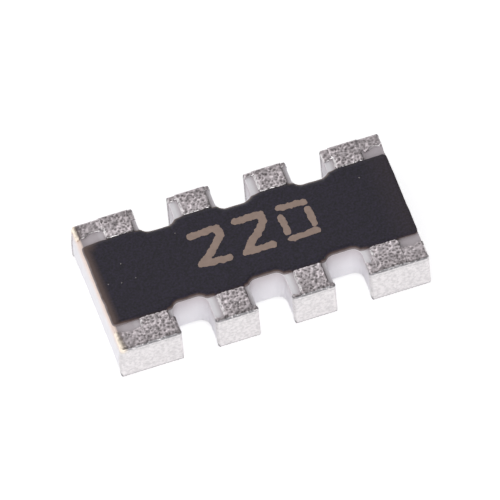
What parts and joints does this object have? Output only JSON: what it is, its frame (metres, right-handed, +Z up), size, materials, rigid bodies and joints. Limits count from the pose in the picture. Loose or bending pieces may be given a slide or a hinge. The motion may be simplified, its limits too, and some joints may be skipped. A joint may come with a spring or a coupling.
{
  "type": "resistor network",
  "caption": "Surface-mount chip resistor array: printed resistors under a black coat on a notched ceramic plate, with tin-plated terminals wrapped round both long sides.",
  "frame": {"origin": "on the circuit board's surface, under the middle of the part", "axes": "+X along the rows of terminals, +Y towards the back row, +Z up from the board"},
  "size_m": [0.0032, 0.0016, 0.0005],
  "materials": {
    "alumina": "satin",
    "overcoat_resin": "satin",
    "resistor_film": "satin",
    "cover_glass": "gloss",
    "printed_silver": "matte",
    "edge_silver": "matte",
    "tin_plating": "satin"
  },
  "bodies": {
    "root": {"ceramic_plate": "alumina", "overcoat": "overcoat_resin", "resistor_film_1": "resistor_film", "resistor_film_2": "resistor_film", "resistor_film_3": "resistor_film", "resistor_film_4": "resistor_film", "glass_cover_1": "cover_glass", "glass_cover_2": "cover_glass", "glass_cover_3": "cover_glass", "glass_cover_4": "cover_glass", "top_electrode_1": "printed_silver", "top_electrode_2": "printed_silver", "top_electrode_3": "printed_silver", "top_electrode_4": "printed_silver", "top_electrode_5": "printed_silver", "top_electrode_6": "printed_silver", "top_electrode_7": "printed_silver", "top_electrode_8": "printed_silver", "bottom_electrode_1": "printed_silver", "bottom_electrode_2": "printed_silver", "bottom_electrode_3": "printed_silver", "bottom_electrode_4": "printed_silver", "bottom_electrode_5": "printed_silver", "bottom_electrode_6": "printed_silver", "bottom_electrode_7": "printed_silver", "bottom_electrode_8": "printed_silver", "edge_electrode_1": "edge_silver", "edge_electrode_2": "edge_silver", "edge_electrode_3": "edge_silver", "edge_electrode_4": "edge_silver", "edge_electrode_5": "edge_silver", "edge_electrode_6": "edge_silver", "edge_electrode_7": "edge_silver", "edge_electrode_8": "edge_silver", "termination_1": "tin_plating", "termination_2": "tin_plating", "termination_3": "tin_plating", "termination_4": "tin_plating", "termination_5": "tin_plating", "termination_6": "tin_plating", "termination_7": "tin_plating", "termination_8": "tin_plating"}
  },
  "joints": []
}
